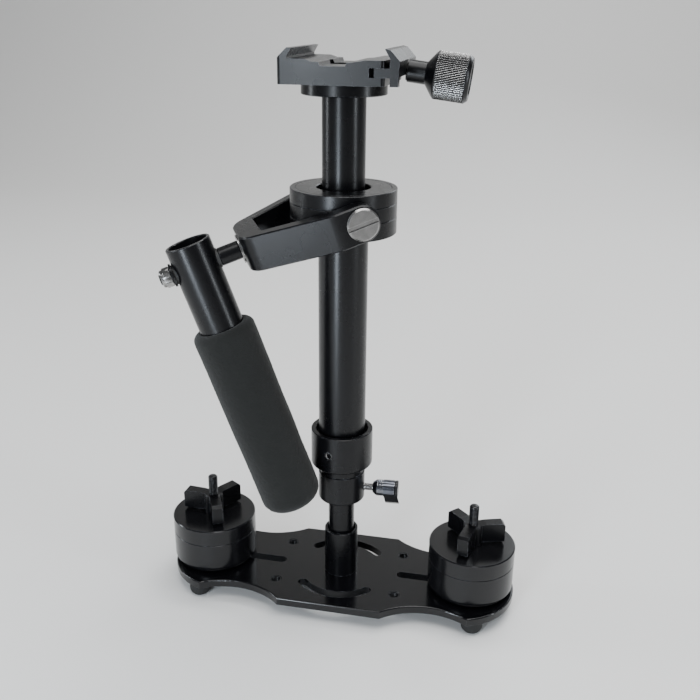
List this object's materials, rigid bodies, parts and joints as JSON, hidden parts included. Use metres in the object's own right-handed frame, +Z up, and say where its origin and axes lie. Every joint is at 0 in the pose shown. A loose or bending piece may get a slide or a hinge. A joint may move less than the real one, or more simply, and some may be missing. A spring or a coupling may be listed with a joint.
{
  "type": "handheld camera stabiliser",
  "caption": "Handheld camera stabiliser: weighted base plate, telescopic black column, gimbal collar with yoke and hanging foam grip, and a quick-release clamp on top.",
  "frame": {"origin": "on the column's axis, on the top face of the base plate, in the middle of the four accessory holes", "axes": "+Z up along the column, +X along the base plate to the clamp knob's side, +Y to the side away from the handle"},
  "size_m": [0.2213, 0.0921, 0.3323],
  "materials": {
    "black_anodised": "satin black anodised",
    "black_plate": "glossy black anodised",
    "black_steel": "semi-gloss black",
    "bright_steel": "bright turned steel",
    "nickel": "nickel plated",
    "gunmetal": "knurled dark grey",
    "foam": "matt fine-cell foam",
    "rubber": "matt black rubber",
    "bush_plastic": "matt black nylon",
    "bush_brass": "turned brass"
  },
  "bodies": {
    "base": {"base_plate": "black_plate", "feet": "rubber", "foot_screws": "black_steel", "post_sleeve": "black_anodised", "post_tube": "black_anodised", "post_plug": "bush_brass", "post_screw": "black_steel", "tube_glide_bush": "bush_plastic"},
    "column": {"main_tube": "black_anodised", "mast_collar": "black_anodised", "mast_bush": "bush_plastic", "collar_grub_screw": "bright_steel", "upper_tube": "black_anodised", "tube_joint_plug": "black_anodised", "bearing_inner_lower": "bright_steel", "bearing_inner_upper": "bright_steel", "bearing_spacer": "bush_brass", "bearing_nut": "black_steel", "clamp_flange": "black_anodised", "clamp_body": "black_anodised", "clamp_screw": "black_steel"},
    "lock_pad": {"lock_pad": "bush_plastic"},
    "lock_screw": {"thumb_screw": "nickel", "thumb_wing": "black_steel"},
    "gimbal_ring": {"gimbal_ring_bottom": "black_anodised", "gimbal_ring_middle": "black_anodised", "gimbal_ring_top": "black_anodised", "gimbal_cover": "black_anodised", "bearing_outer_lower": "bright_steel", "bearing_outer_upper": "bright_steel", "bearing_balls_lower": "bright_steel", "bearing_balls_upper": "bright_steel", "pivot_screw_near": "bright_steel", "pivot_screw_far": "bright_steel"},
    "yoke": {"yoke_frame": "black_anodised", "pivot_bush_near": "bush_brass", "pivot_bush_far": "bush_brass", "handle_bolt": "black_steel", "nose_washer": "bright_steel", "spacer_sleeve": "black_anodised", "nut_washer": "black_steel", "lock_nut": "bright_steel"},
    "handle": {"handle_tube": "black_anodised", "foam_grip": "foam", "handle_cross_sleeve": "bright_steel", "handle_bushes": "bush_plastic", "handle_end_plug": "bush_plastic"},
    "clamp_jaw": {"clamp_jaw": "black_anodised"},
    "clamp_knob": {"clamp_knob": "gunmetal", "jaw_screw": "black_steel"},
    "weight_left": {"left_disc_lower": "black_steel", "left_disc_upper": "black_steel", "left_stud": "black_steel"},
    "weight_right": {"right_disc_lower": "black_steel", "right_disc_upper": "black_steel", "right_stud": "black_steel"},
    "nut_left": {"left_wing_nut": "black_anodised"},
    "nut_right": {"right_wing_nut": "black_anodised"}
  },
  "joints": [
    {"name": "column_slide", "type": "slide", "parent": "base", "child": "column", "axis": [0, 0, 1], "range_m": [-0.02, 0.066]},
    {"name": "lock_pad_slide", "type": "slide", "parent": "column", "child": "lock_pad", "axis": [0.9986, 0.0523, 0], "range_m": [0, 0.0014]},
    {"name": "lock_screw_turn", "type": "hinge", "parent": "lock_pad", "child": "lock_screw", "pos_m": [0, 0, 0.0612], "axis": [0.9986, 0.0523, 0], "range_deg": [-1, 721]},
    {"name": "gimbal_pan", "type": "hinge", "parent": "column", "child": "gimbal_ring", "pos_m": [0, 0, 0.23435], "axis": [0, 0, 1], "range_deg": [-170, 85]},
    {"name": "yoke_tilt", "type": "hinge", "parent": "gimbal_ring", "child": "yoke", "pos_m": [0, 0, 0.23435], "axis": [-0.4478, 0.8942, 0], "range_deg": [0, 60]},
    {"name": "handle_roll", "type": "hinge", "parent": "yoke", "child": "handle", "pos_m": [-0.07286, -0.03648, 0.20683], "axis": [-0.8472, -0.4242, -0.32], "range_deg": [-90, 90]},
    {"name": "jaw_slide", "type": "slide", "parent": "column", "child": "clamp_jaw", "axis": [1, 0, 0], "range_m": [-0.0008, 0.0024]},
    {"name": "knob_turn", "type": "hinge", "parent": "clamp_jaw", "child": "clamp_knob", "pos_m": [0.0333, 0, 0.3076], "axis": [0.9925, 0, -0.1219], "range_deg": [-361, 1081]},
    {"name": "left_weight_slide", "type": "slide", "parent": "base", "child": "weight_left", "axis": [1, 0, 0], "range_m": [-0.0068, 0.045]},
    {"name": "right_weight_slide", "type": "slide", "parent": "base", "child": "weight_right", "axis": [-1, 0, 0], "range_m": [-0.009, 0.0428]},
    {"name": "left_nut_turn", "type": "hinge", "parent": "weight_left", "child": "nut_left", "pos_m": [-0.08486, 0, 0.037], "axis": [0, 0, 1], "continuous": true},
    {"name": "right_nut_turn", "type": "hinge", "parent": "weight_right", "child": "nut_right", "pos_m": [0.08264, 0, 0.037], "axis": [0, 0, 1], "continuous": true}
  ],
  "couplings": [
    {"joint": "lock_screw_turn", "follows": "lock_pad_slide", "rad_per_m": 8976},
    {"joint": "knob_turn", "follows": "jaw_slide", "rad_per_m": 7854}
  ]
}
